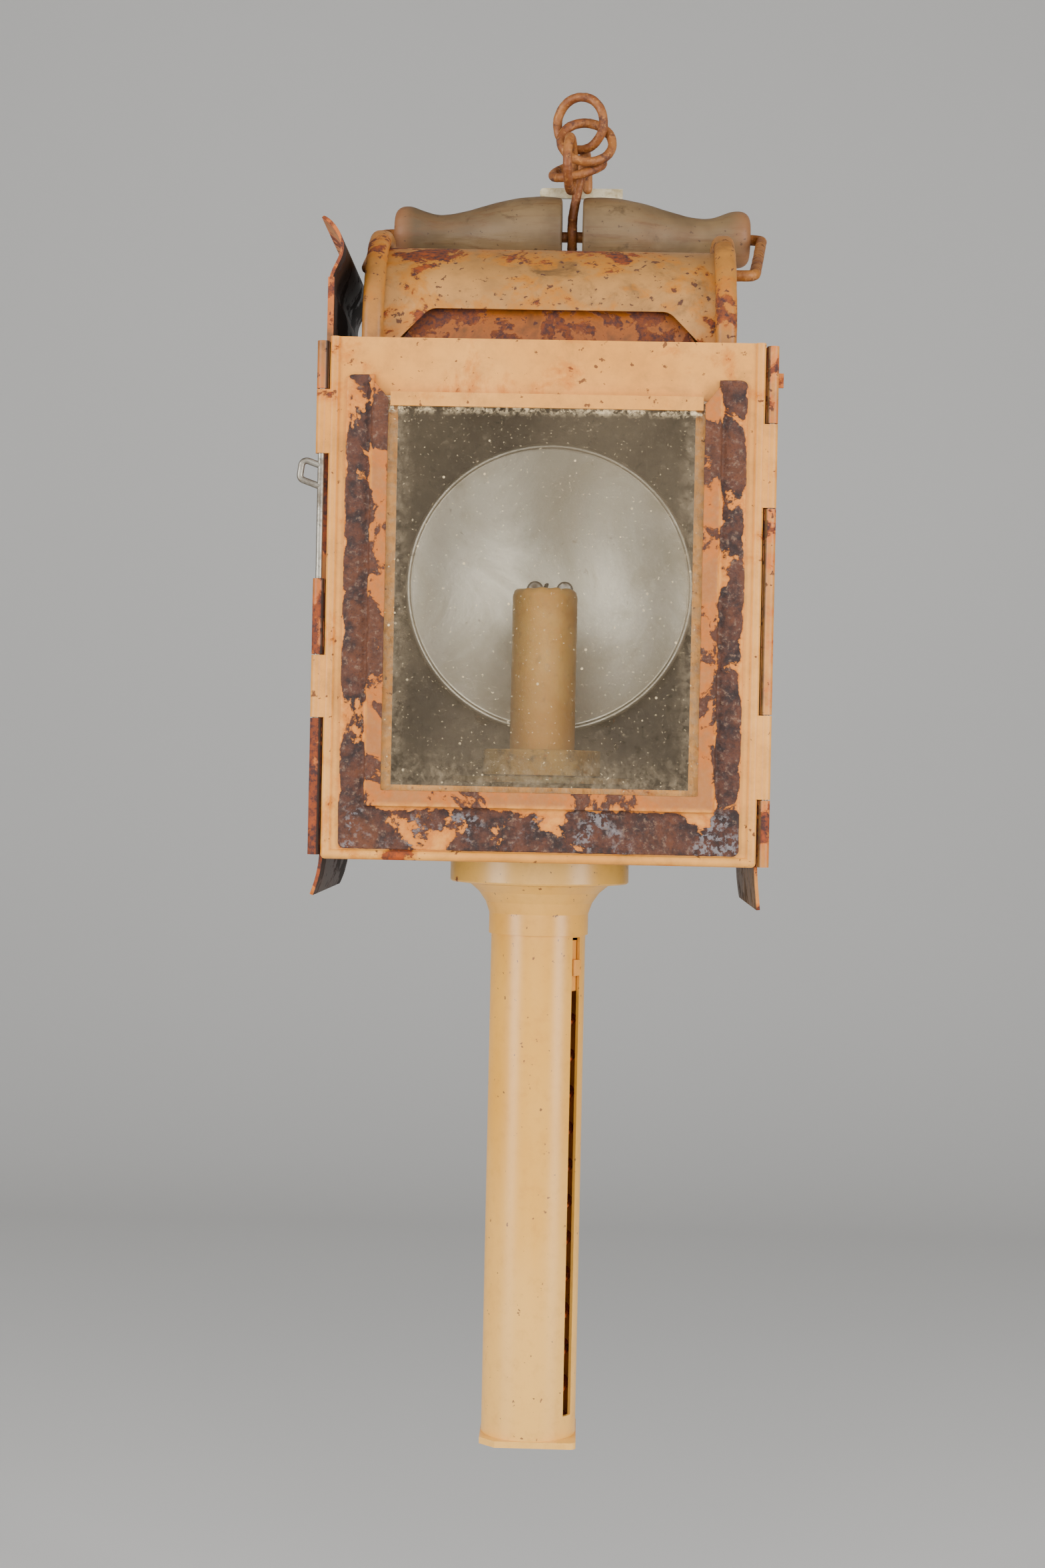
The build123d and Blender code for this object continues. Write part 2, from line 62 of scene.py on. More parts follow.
# ---------------------------------------------------------------- node helpers
class Graph:
    """A small builder for one material's nodes. Textures use object coordinates, in metres."""

    def __init__(self, name):
        self.mat = bpy.data.materials.new(name)
        self.mat.use_nodes = True
        self.tree = self.mat.node_tree
        self.tree.nodes.clear()
        self.out = self.tree.nodes.new("ShaderNodeOutputMaterial")
        self.coord = self.add("ShaderNodeTexCoord").outputs["Object"]

    def add(self, kind, inputs=None, **props):
        node = self.tree.nodes.new(kind)
        for key, value in props.items():
            setattr(node, key, value)
        for key, value in (inputs or {}).items():
            self.put(node.inputs[key], value)
        return node

    def put(self, socket, value):
        if isinstance(value, bpy.types.NodeSocket):
            self.tree.links.new(value, socket)
        else:
            socket.default_value = value

    def place(self, offset=(0, 0, 0), stretch=(1, 1, 1)):
        node = self.add("ShaderNodeMapping", {"Vector": self.coord})
        node.inputs["Location"].default_value = offset
        node.inputs["Scale"].default_value = stretch
        return node.outputs[0]

    def noise(self, size, detail=5.0, rough=0.6, distort=0.0, offset=(0, 0, 0), stretch=(1, 1, 1)):
        """Noise whose blobs are about size metres across."""
        node = self.add("ShaderNodeTexNoise", {
            "Vector": self.place(offset, stretch), "Scale": 0.5 / size, "Detail": detail,
            "Roughness": rough, "Distortion": distort})
        return node.outputs["Fac"]

    def cells(self, size):
        """Distance to the nearest of scattered points about size metres apart."""
        node = self.add("ShaderNodeTexVoronoi", {
            "Vector": self.place(), "Scale": 1 / size})
        return node.outputs["Distance"]

    def math(self, op, a, b=0.0, c=0.0):
        node = self.add("ShaderNodeMath", operation=op)
        for socket, value in zip(node.inputs, (a, b, c)):
            self.put(socket, value)
        return node.outputs[0]

    def step(self, value, low, high, to_low=0.0, to_high=1.0):
        """Smooth step from low to high."""
        node = self.add("ShaderNodeMapRange", {
            "Value": value, "From Min": low, "From Max": high, "To Min": to_low, "To Max": to_high},
            interpolation_type="SMOOTHSTEP")
        return node.outputs["Result"]

    def mix(self, fac, a, b, blend="MIX"):
        node = self.add("ShaderNodeMix", data_type="RGBA", blend_type=blend)
        for socket, value in ((node.inputs[0], fac), (node.inputs[6], a), (node.inputs[7], b)):
            if isinstance(value, tuple) and len(value) == 3:
                value = (*value, 1.0)
            self.put(socket, value)
        return node.outputs[2]

    def axes(self):
        node = self.add("ShaderNodeSeparateXYZ", {"Vector": self.coord})
        return node.outputs[0], node.outputs[1], node.outputs[2]

    def bump(self, height, depth, strength=1.0):
        node = self.add("ShaderNodeBump", {"Height": height, "Distance": depth, "Strength": strength})
        return node.outputs[0]

    def finish(self, color, rough, normal=None, metallic=0.0, **fixed):
        shader = self.add("ShaderNodeBsdfPrincipled")
        for key, value in (("Base Color", color), ("Roughness", rough), ("Metallic", metallic)):
            if isinstance(value, tuple) and len(value) == 3:
                value = (*value, 1.0)
            self.put(shader.inputs[key], value)
        if normal is not None:
            self.put(shader.inputs["Normal"], normal)
        for key, value in fixed.items():
            self.put(shader.inputs[key.replace("_", " ")], value)
        self.tree.links.new(shader.outputs[0], self.out.inputs["Surface"])
        return self.mat


def srgb(r, g, b, richer=1.42):
    """Colour from 0-255 display values, made richer because the pale room washes colours out."""
    linear = [v / 255 / 12.92 if v <= 10 else ((v / 255 + 0.055) / 1.055) ** 2.4 for v in (r, g, b)]
    grey = 0.2126 * linear[0] + 0.7152 * linear[1] + 0.0722 * linear[2]
    return tuple(max(0.0, min(1.0, grey + richer * (v - grey))) for v in linear)


# ---------------------------------------------------------------- materials
def rusty_paint(name, paint, paint2, rust_at, seed, rust=(92, 52, 38), halo=(178, 104, 48), dark=(58, 36, 34),
                patch=0.012, specks=0.62, paint_rough=0.5, stretch=(1, 1, 1), grime=0.5, inner=None):
    """Old paint over sheet iron. rust_at is how much stays painted: 0.3 is mostly rust, 0.8 few spots."""
    g = Graph(name)
    o = (seed, seed * 0.7, -seed)
    broad = g.noise(0.03, 4, 0.55, offset=o, stretch=stretch)
    fine = g.noise(0.0032, 6, 0.7, offset=o)
    grain = g.noise(0.0007, 3, 0.6, offset=o)
    blotch = g.noise(patch, 7, 0.62, 0.35, offset=(o[0] + 0.3, o[1], o[2]), stretch=stretch)
    field = g.math("ADD", blotch, g.math("MULTIPLY", g.math("SUBTRACT", fine, 0.5), 0.22))
    rust_mask = g.step(field, rust_at, rust_at + 0.035)
    halo_mask = g.step(field, rust_at - 0.09, rust_at + 0.01)
    speck = g.noise(0.0012, 3, 0.55, offset=(o[0], o[1] + 0.5, o[2]))
    speck_mask = g.step(speck, specks, specks + 0.05)
    body = g.mix(g.step(broad, 0.32, 0.68), srgb(*paint), srgb(*paint2))
    body = g.mix(g.math("MULTIPLY", g.step(fine, 0.35, 0.75), 0.35), body, srgb(*[v * 0.72 for v in paint2]))
    dirty = g.step(g.noise(0.009, 6, 0.7, 0.6, offset=o), 0.5, 0.72)
    body = g.mix(g.math("MULTIPLY", dirty, grime), body, srgb(*[v * 0.5 for v in paint2]))
    body = g.mix(g.math("MULTIPLY", halo_mask, 0.75), body, srgb(*halo))
    iron = g.mix(g.step(grain, 0.38, 0.62), srgb(*dark), srgb(*rust))
    bright_rust = srgb(*[min(255, v * 1.35) for v in rust])
    iron = g.mix(g.math("MULTIPLY", g.step(fine, 0.5, 0.66), 0.6), iron, bright_rust)
    color = g.mix(g.math("MULTIPLY", speck_mask, 0.85), body, srgb(*dark))
    color = g.mix(rust_mask, color, iron)
    if inner:
        # faces that look inward get painted shade mixed with soot: a door's by its facing, the case's by
        # planes behind its walls
        x, y, z = g.axes()
        if len(inner) == 1:
            normal = g.add("ShaderNodeTexCoord").outputs["Normal"]
            facing = g.add("ShaderNodeSeparateXYZ", {0: normal}).outputs[0]
            shade_and_soot_mask = g.step(g.math("MULTIPLY", x, facing), -0.03, -0.045)
        else:
            across, deep, high = inner[1:]
            between = g.step(g.math("ABSOLUTE", x), across, across - EDGE)
            under = g.math("MULTIPLY", g.step(y, deep, deep - EDGE), g.step(z, high, high - EDGE))
            shade_and_soot_mask = g.math("MULTIPLY", between, under)
        shade_and_soot_tone = inner[0]
        # painted shade with soot: a dark mix laid on the inward faces
        soot = g.mix(g.step(fine, 0.4, 0.62), srgb(*shade_and_soot_tone), srgb(*[v * 0.55 for v in shade_and_soot_tone]))
        color = g.mix(g.math("MULTIPLY", shade_and_soot_mask, 0.94), color, soot)
    rough = g.step(g.math("ADD", rust_mask, speck_mask), 0, 1, paint_rough, 0.82)
    relief = g.math("ADD", g.math("MULTIPLY", rust_mask, g.math("ADD", g.math("MULTIPLY", grain, 0.9), 0.35)),
                    g.math("ADD", g.math("MULTIPLY", fine, 0.22), g.math("MULTIPLY", broad, 0.2)))
    return g.finish(color, rough, g.bump(relief, 0.00022, 0.8))


def deep_rust(name):
    """Retainer: rust eats the middle of the side flanges and the bottom band; paint holds at the edges."""
    g = Graph(name)
    x, y, z = g.axes()
    big = g.noise(0.0085, 7, 0.62, 0.5, offset=(2.1, 0, 0.4))
    mid = g.noise(0.0026, 6, 0.68)
    fine = g.noise(0.0007, 4, 0.62)
    grains = g.cells(0.0008)
    across = g.math("ABSOLUTE", x)
    # middle of the side flanges, bottom band and raised lip, as soft masks
    band = g.math("MULTIPLY", g.step(across, 0.0510, 0.0538), g.step(across, 0.0612, 0.0584))
    low = g.step(z, -0.0605, -0.0645)
    lip = g.math("MULTIPLY", g.step(across, 0.0525, 0.0515), g.step(z, -0.0625, -0.0605))
    reach_low = g.math("ADD", g.math("MULTIPLY", low, 0.26), g.math("MULTIPLY", lip, 0.10))
    reach = g.math("ADD", g.math("MULTIPLY", band, 0.245), reach_low)
    ragged = g.math("MULTIPLY", g.math("SUBTRACT", mid, 0.5), 0.26)
    field = g.math("ADD", reach, g.math("ADD", big, ragged))
    rust_mask = g.step(field, 0.635, 0.665)
    halo_mask = g.step(field, 0.53, 0.64)
    iron = g.mix(g.step(mid, 0.38, 0.62), srgb(36, 21, 17, 1.2), srgb(78, 46, 33, 1.2))
    iron = g.mix(g.math("MULTIPLY", g.step(big, 0.52, 0.66), 0.45), iron, srgb(108, 64, 40, 1.2))
    iron = g.mix(g.math("MULTIPLY", g.step(fine, 0.56, 0.68), 0.55), iron, srgb(122, 100, 84))
    iron = g.mix(g.math("MULTIPLY", g.step(grains, 0.40, 0.15), 0.45), iron, srgb(40, 24, 26))
    blue = g.math("MULTIPLY", low, g.step(g.noise(0.012, 5, 0.6, 0.4, offset=(0.2, 0, 1.7)), 0.50, 0.60))
    iron = g.mix(g.math("MULTIPLY", blue, g.step(fine, 0.48, 0.56, 0.0, 0.7)), iron, srgb(124, 120, 122, 1.0))
    paint = g.mix(g.step(mid, 0.4, 0.62), srgb(204, 150, 104), srgb(184, 128, 86))
    paint = g.mix(g.math("MULTIPLY", lip, 0.8), paint, srgb(140, 96, 70))
    paint = g.mix(g.math("MULTIPLY", halo_mask, 0.6), paint, srgb(176, 108, 62))
    color = g.mix(rust_mask, paint, iron)
    rough = g.step(fine, 0.4, 0.7, 0.8, 0.5)
    crusty = g.math("ADD", g.math("MULTIPLY", rust_mask, 0.8), 0.15)
    relief = g.math("ADD", g.math("MULTIPLY", g.math("ADD", mid, fine), crusty),
                    g.math("MULTIPLY", rust_mask, -0.35))
    return g.finish(color, rough, g.bump(relief, 0.0005, 0.9))


def tube_enamel(name):
    """Clean sand-yellow enamel with a soft gloss, thin runs and a few chips."""
    g = Graph(name)
    cloud = g.noise(0.02, 4, 0.5, stretch=(1, 1, 0.35))
    fine = g.noise(0.0016, 5, 0.6)
    chip_field = g.noise(0.0068, 6, 0.66, 0.3, offset=(0.7, 0.1, 0.9))
    chips = g.step(chip_field, 0.725, 0.735)
    rim = g.step(chip_field, 0.705, 0.725)
    specks = g.step(g.noise(0.0009, 2, 0.5, offset=(0.2, 0.9, 0)), 0.71, 0.74)
    body = g.mix(g.step(cloud, 0.35, 0.65), srgb(224, 182, 128), srgb(212, 164, 108))
    body = g.mix(g.math("MULTIPLY", g.step(fine, 0.45, 0.8), 0.25), body, srgb(170, 122, 76))
    body = g.mix(rim, body, srgb(176, 112, 60))
    iron = g.mix(g.step(fine, 0.4, 0.6), srgb(62, 40, 44), srgb(104, 66, 58))
    color = g.mix(g.math("MAXIMUM", chips, g.math("MULTIPLY", specks, 0.8)), body, iron)
    rough = g.step(g.math("ADD", chips, g.math("MULTIPLY", fine, 0.2)), 0, 1, 0.33, 0.8)
    relief = g.math("SUBTRACT", g.math("MULTIPLY", cloud, 0.4), g.math("MULTIPLY", chips, 0.6))
    return g.finish(color, rough, g.bump(relief, 0.0002, 0.5), Coat_Weight=0.15, Coat_Roughness=0.3)


def worn_wood(name):
    """Turned handle: thin grey-beige paint rubbed to the wood, grain along the handle, dark hand dirt."""
    g = Graph(name)
    grain = g.noise(0.0011, 6, 0.65, 0.2, stretch=(0.06, 1, 1))
    streak = g.noise(0.004, 5, 0.6, stretch=(0.2, 1, 1), offset=(0, 1.3, 0))
    broad = g.noise(0.016, 4, 0.6, 0.3)
    dirt = g.noise(0.006, 7, 0.7, 0.8, offset=(0.4, 0.4, 0))
    specks = g.step(g.noise(0.0008, 2, 0.5), 0.68, 0.72)
    # base colours darker than the wood alone: partly the handle's own colour, partly painted shade for the
    # handle on top of the lantern, where less light falls
    color = g.mix(g.step(broad, 0.35, 0.65), srgb(120, 98, 70, 1.15), srgb(90, 72, 50, 1.15))
    color = g.mix(g.math("MULTIPLY", g.step(streak, 0.45, 0.7), 0.5), color, srgb(112, 84, 60))
    color = g.mix(g.math("MULTIPLY", g.step(grain, 0.5, 0.68), 0.55), color, srgb(88, 64, 46))
    color = g.mix(g.math("MULTIPLY", g.step(dirt, 0.56, 0.68), 0.7), color, srgb(70, 56, 40))
    x, _, _ = g.axes()
    ends = g.math("ADD", g.step(x, -0.047, -0.054), g.step(x, 0.058, 0.066))
    color = g.mix(g.math("MULTIPLY", ends, 0.5), color, srgb(142, 98, 74))
    color = g.mix(g.math("MULTIPLY", specks, 0.7), color, srgb(60, 44, 34))
    relief = g.math("ADD", g.math("MULTIPLY", grain, 0.6), g.math("MULTIPLY", streak, 0.6))
    return g.finish(color, g.step(broad, 0.3, 0.7, 0.5, 0.66), g.bump(relief, 0.00035, 0.8))


def rust_wire(name, tan=(146, 102, 68), rust=(108, 68, 46), dark=(58, 38, 32)):
    """Round wire under an even brown rust, darker in the pits."""
    g = Graph(name)
    big = g.noise(0.006, 5, 0.6, 0.3)
    mid = g.noise(0.0019, 5, 0.65)
    fine = g.noise(0.0006, 3, 0.6)
    color = g.mix(g.step(big, 0.38, 0.62), srgb(*tan), srgb(*rust))
    color = g.mix(g.math("MULTIPLY", g.step(mid, 0.52, 0.66), 0.8), color, srgb(*dark))
    color = g.mix(g.math("MULTIPLY", g.step(fine, 0.56, 0.68), 0.45), color, srgb(188, 142, 104))
    relief = g.math("ADD", mid, g.math("MULTIPLY", fine, 0.5))
    return g.finish(color, g.step(mid, 0.4, 0.7, 0.5, 0.8), g.bump(relief, 0.00035, 0.9), metallic=0.15)


def soot_iron(name, base, rust):
    """Matt iron dulled by soot, with a few lighter grains of rust."""
    g = Graph(name)
    big = g.noise(0.014, 6, 0.65, 0.5)
    mid = g.noise(0.003, 6, 0.65)
    fine = g.noise(0.0008, 3, 0.6)
    color = g.mix(g.step(big, 0.42, 0.66), srgb(*base), srgb(*rust))
    color = g.mix(g.math("MULTIPLY", g.step(mid, 0.48, 0.66), 0.7), color, srgb(34, 24, 22))
    color = g.mix(g.math("MULTIPLY", g.step(fine, 0.6, 0.7), 0.5), color, srgb(150, 92, 58))
    return g.finish(color, 0.85, g.bump(g.math("ADD", mid, fine), 0.0003, 0.8))


def grey_metal(name, base, dark, metallic=0.8, rough=(0.35, 0.6)):
    """Bare metal with a dull skin."""
    g = Graph(name)
    mid = g.noise(0.003, 5, 0.65)
    fine = g.noise(0.0007, 3, 0.6)
    color = g.mix(g.step(mid, 0.4, 0.66), srgb(*base), srgb(*dark))
    color = g.mix(g.math("MULTIPLY", g.step(fine, 0.6, 0.7), 0.5), color, srgb(*[v * 0.6 for v in dark]))
    return g.finish(color, g.step(mid, 0.4, 0.7, *rough), g.bump(g.math("ADD", mid, fine), 0.0001, 0.6),
                    metallic=metallic)


def dusty_glass(name):
    """Old glass: a thin haze of dust, a crusty line along the top, grime at the sides and white specks."""
    g = Graph(name)
    x, _, z = g.axes()
    haze = g.noise(0.035, 5, 0.6, 0.6)
    fine = g.noise(0.0014, 6, 0.72)
    dots = g.step(g.cells(0.006), 0.085, 0.055)
    dots = g.math("MULTIPLY", dots, g.step(g.noise(0.006, 2, 0.5, offset=(0.4, 0, 0.9)), 0.47, 0.55))
    dust = g.step(g.noise(0.0005, 2, 0.5), 0.66, 0.72)
    side = g.step(g.math("ABSOLUTE", x), 0.0385, 0.0455)
    low = g.step(z, -0.042, -0.057)
    crust = g.math("MULTIPLY", g.step(z, 0.0549, 0.0572), g.step(fine, 0.46, 0.58))
    grime = g.math("MULTIPLY", g.math("MAXIMUM", side, low), g.step(fine, 0.40, 0.62))
    film = g.math("ADD", g.step(haze, 0.35, 0.70, 0.07, 0.15), g.math("MULTIPLY", grime, 0.24))
    film = g.math("ADD", film, g.math("MULTIPLY", g.step(fine, 0.55, 0.75), 0.14))
    film = g.math("ADD", film, g.math("MULTIPLY", g.math("MAXIMUM", dots, g.math("MULTIPLY", dust, 0.5)), 0.5))
    film = g.math("MINIMUM", g.math("ADD", film, g.math("MULTIPLY", crust, 0.5)), 0.92)
    bright = g.math("MAXIMUM", dots, g.math("MAXIMUM", crust, dust))
    color = g.mix(bright, srgb(142, 128, 108), srgb(226, 208, 176))
    return g.finish(color, 0.32, None, Alpha=film, Specular_IOR_Level=0.5)


def old_mirror(name):
    """Tarnished tinned bowl: hazy silver, with a painted reflection of the dark case: darkened in the middle
    and at the lower left, lighter at both sides.
    """
    g = Graph(name)
    x, _, z = g.axes()
    haze = g.noise(0.02, 6, 0.65, 0.8)
    fine = g.noise(0.0012, 4, 0.6)
    spots = g.step(g.noise(0.0035, 6, 0.7, 0.4, offset=(1, 2, 3)), 0.64, 0.70)
    # painted reflection: the middle and the lower left are darkened as if the bowl mirrored the dark case
    # around it
    wander = g.math("MULTIPLY", g.math("SUBTRACT", haze, 0.5), 0.03)
    middle = g.step(g.math("ABSOLUTE", g.math("ADD", x, wander)), 0.022, 0.004)
    corner = g.step(g.math("ADD", x, g.math("ADD", z, g.math("MULTIPLY", haze, 0.03))), -0.040, -0.056)
    color = g.mix(g.step(haze, 0.4, 0.7), srgb(238, 232, 216), srgb(206, 198, 178))
    # painted reflection colours for the dark middle and the dark lower left
    color = g.mix(g.math("MULTIPLY", middle, 0.6), color, srgb(122, 118, 106))
    color = g.mix(g.math("MULTIPLY", corner, 0.75), color, srgb(96, 84, 66))
    color = g.mix(g.math("MULTIPLY", spots, 0.4), color, srgb(118, 98, 78))
    rough = g.math("ADD", g.step(haze, 0.35, 0.7, 0.34, 0.48), g.math("MULTIPLY", spots, 0.2))
    return g.finish(color, rough, g.bump(g.math("ADD", haze, g.math("MULTIPLY", fine, 0.2)), 0.0006, 0.35),
                    metallic=0.8)


def candle_wax(name):
    """Honey-coloured aged wax, paler at the top."""
    g = Graph(name)
    big = g.noise(0.012, 5, 0.6, 0.4)
    fine = g.noise(0.0015, 5, 0.6)
    _, _, z = g.axes()
    color = g.mix(g.step(big, 0.35, 0.65), srgb(214, 172, 118), srgb(196, 148, 94))
    color = g.mix(g.math("MULTIPLY", g.step(fine, 0.55, 0.72), 0.4), color, srgb(150, 110, 70))
    color = g.mix(g.math("MULTIPLY", g.step(z, 0.004, 0.009), 0.25), color, srgb(226, 200, 156))
    uneven = g.bump(g.math("ADD", big, g.math("MULTIPLY", fine, 0.3)), 0.0008, 0.5)
    return g.finish(color, g.step(big, 0.3, 0.7, 0.38, 0.55), uneven,
                    Subsurface_Weight=0.25, Subsurface_Scale=0.004)


def plain_dark(name, rgb):
    """Burnt cotton."""
    g = Graph(name)
    fine = g.noise(0.0006, 3, 0.6)
    color = g.mix(g.step(fine, 0.4, 0.65), srgb(*rgb), srgb(*[v * 1.9 for v in rgb]))
    return g.finish(color, 0.9, g.bump(fine, 0.0003, 0.8))


FRAME_PAINT = rusty_paint("frame_paint", (218, 166, 116), (204, 148, 98), 0.640, 0.0, specks=0.66, patch=0.009,
                          rust=(124, 66, 44), halo=(186, 122, 74), dark=(84, 50, 38), grime=0.3)
# the case's inward faces behind its walls take painted shade with soot in the given grey
CASE_PAINT = rusty_paint("case_paint", (206, 156, 108), (184, 130, 84), 0.61, 3.3,
                         inner=((62, 60, 52), 0.0625, -0.0005, 0.0779))
# hood colours darker than the case's: partly the hood's own faded colour, partly painted shade for the top of
# the lantern, where less light falls
HOOD_PAINT = rusty_paint("hood_paint", (176, 136, 98), (146, 112, 80), 0.575, 5.1, patch=0.011, grime=0.8,
                         rust=(112, 62, 40), halo=(168, 114, 70))
RIM_PAINT = rusty_paint("rim_paint", (180, 134, 92), (148, 106, 70), 0.575, 7.7, patch=0.010, grime=0.6,
                        rust=(108, 62, 42), halo=(162, 106, 64))
BAFFLE_RUST = rusty_paint("baffle_rust", (122, 80, 50), (94, 58, 36), 0.50, 2.2, patch=0.010, grime=0.7,
                          rust=(94, 54, 36), halo=(140, 86, 48))
# both doors' inward faces take painted shade with soot in the given colours
DOOR_RUST = rusty_paint("door_rust", (168, 118, 80), (134, 90, 60), 0.50, 9.2, patch=0.014, grime=0.7,
                        rust=(112, 62, 44), inner=((34, 26, 22),))
HINGE_RUST = rusty_paint("hinge_rust", (196, 144, 100), (170, 116, 76), 0.54, 11.0, patch=0.008, grime=0.6,
                         rust=(116, 64, 46), inner=((92, 70, 44),))
RETAINER = deep_rust("retainer_rust")
ENAMEL = tube_enamel("tube_enamel")
WOOD = worn_wood("grip_wood")
WIRE = rust_wire("rust_wire")
CHAIN = rust_wire("chain_rust", (148, 104, 74), (116, 74, 52), (66, 46, 42))
SPRING = rust_wire("spring_rust", (150, 80, 46), (110, 54, 34), (50, 30, 26))
SOOT = soot_iron("soot_iron", (96, 84, 60), (128, 96, 62))
CAP = soot_iron("cap_paint", (176, 148, 104), (150, 118, 78))
BRACKET = soot_iron("bracket_iron", (64, 54, 46), (96, 66, 46))
PIN = grey_metal("pin_wire", (150, 146, 138), (104, 96, 86))
STRIP = grey_metal("bare_strip", (206, 196, 174), (160, 146, 118), metallic=0.45)
RIVET = grey_metal("rivet_tin", (160, 156, 148), (110, 100, 88))
GLASS = dusty_glass("dusty_glass")
MIRROR = old_mirror("old_mirror")
WAX = candle_wax("aged_wax")
WICK = plain_dark("burnt_wick", (26, 20, 17))

NODE_LOOK = {
    "case_shell": CASE_PAINT, "floor_plate": CASE_PAINT, "roof_deck": CASE_PAINT, "front_frame": FRAME_PAINT,
    "glass_retainer": RETAINER, "front_glass": GLASS, "reflector": MIRROR, "reflector_rivets": RIVET,
    "left_door": DOOR_RUST, "right_door": HINGE_RUST, "left_hinge_pin": PIN, "right_hinge_pin": PIN,
    "hood_shell": HOOD_PAINT, "hood_end_left": RIM_PAINT, "hood_end_right": RIM_PAINT,
    "hood_baffle": BAFFLE_RUST, "bail_wire": WIRE, "grip_left": WOOD, "grip_right": WOOD,
    "chain_hook": CHAIN, "cross_bar": STRIP,
    "chain_link_1": CHAIN, "chain_link_2": CHAIN, "chain_link_3": CHAIN, "chain_link_4": CHAIN,
    "tube_socket": ENAMEL, "spigot_ring": ENAMEL, "guide_sleeve": SOOT, "candle_tube": ENAMEL,
    "tube_base": ENAMEL, "tube_cap": CAP, "follower": FRAME_PAINT, "follower_spring": SPRING, "candle": WAX,
    "wick": WICK, "rear_bracket": BRACKET, "bracket_rivets": BRACKET,
}


for name, look in NODE_LOOK.items():
    obj = nodes[name]
    obj.data.materials.clear()
    obj.data.materials.append(look)


# ---------------------------------------------------------------- shape detail on CAD nodes
def clouds(name, size, depth=3):
    """Noise that the displacement reads."""
    tex = bpy.data.textures.new(name, "CLOUDS")
    tex.noise_scale = size
    tex.noise_depth = depth
    return tex


def roughen(node, voxel, coarse, fine=0.0, coarse_size=0.006, fine_size=0.0012):
    """Rust relief: a fine even mesh of the node's own shape, then moved in and out by noise."""
    obj = nodes[node]
    remesh = obj.modifiers.new("even_mesh", "REMESH")
    remesh.mode, remesh.voxel_size, remesh.use_smooth_shade = "VOXEL", voxel, True
    soften = obj.modifiers.new("soften", "SMOOTH")
    soften.factor, soften.iterations = 0.5, 2
    for label, strength, size in (("coarse", coarse, coarse_size), ("fine", fine, fine_size)):
        if strength:
            move = obj.modifiers.new(label, "DISPLACE")
            move.texture = clouds(f"{node}_{label}", size)
            move.texture_coords = "LOCAL"
            move.strength, move.mid_level = strength, 0.55


RINGS = [f"chain_link_{i}" for i in range(1, 5)]
for ring in RINGS + ["chain_hook"]:
    roughen(ring, 0.00035, 0.00045, 0.00018, 0.005, 0.0011)
roughen("bail_wire", 0.0004, 0.0003, 0.0001)
roughen("glass_retainer", 0.00042, 0.00035, 0.00022, 0.007, 0.0011)
for rim in ("hood_end_left", "hood_end_right"):
    roughen(rim, 0.00055, 0.0004, 0.00015, 0.012, 0.0016)


# ---------------------------------------------------------------- pieces made here
def link(name, bm, look):
    """A smooth object from a bmesh."""
    mesh = bpy.data.meshes.new(name)
    bm.to_mesh(mesh)
    bm.free()
    for poly in mesh.polygons:
        poly.use_smooth = True
    mesh.materials.append(look)
    obj = bpy.data.objects.new(name, mesh)
    bpy.context.collection.objects.link(obj)
    return obj


def skin(bm, rows):
    """Faces between rings of vertices, each joined to the next."""
    steps = len(rows[0])
    for a, b in zip(rows[:-1], rows[1:]):
        for i in range(steps):
            j = (i + 1) % steps
            bm.faces.new((a[i], a[j], b[j], b[i]))


def close_stack(bm, rows):
    """Skin over a stack of rings, with a face at each end."""
    skin(bm, rows)
    bm.faces.new(list(reversed(rows[0])))
    bm.faces.new(rows[-1])


def seat(obj, node, body):
    """Puts a piece in the place of a CAD node, on its body."""
    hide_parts(node)
    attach(obj, body)


def lathe_x(name, profile, centre, look, steps=96, wobble=0.0, seed=0.0):
    """Turned piece along X from (x, radius) points, closed on itself, slightly out of true."""
    bm = bmesh.new()
    rows = []
    for x, r in profile:
        row = []
        for i in range(steps):
            a = 2 * pi * i / steps
            v = Vector((x * 60, cos(a) * 1.2, sin(a) * 1.2 + seed))
            rr = r * (1 + wobble * noise.noise(v)) + 0.00012 * noise.noise(v * 4)
            row.append(bm.verts.new((x, centre[1] + rr * cos(a), centre[2] + rr * sin(a))))
        rows.append(row)
    skin(bm, rows + rows[:1])
    bmesh.ops.recalc_face_normals(bm, faces=bm.faces)
    return link(name, bm, look)


def curve_points(points, count):
    """Catmull-Rom samples through 2D points."""
    out = []
    pts = [points[0]] + list(points) + [points[-1]]
    for i in range(1, len(pts) - 2):
        p0, p1, p2, p3 = pts[i - 1:i + 3]
        for k in range(count):
            t = k / count
            out.append(tuple(0.5 * (2 * b + (c - a) * t + (2 * a - 5 * b + 4 * c - d) * t * t
                                    + (3 * b - a - 3 * c + d) * t ** 3) for a, b, c, d in zip(p0, p1, p2, p3)))
    out.append(points[-1])
    return out


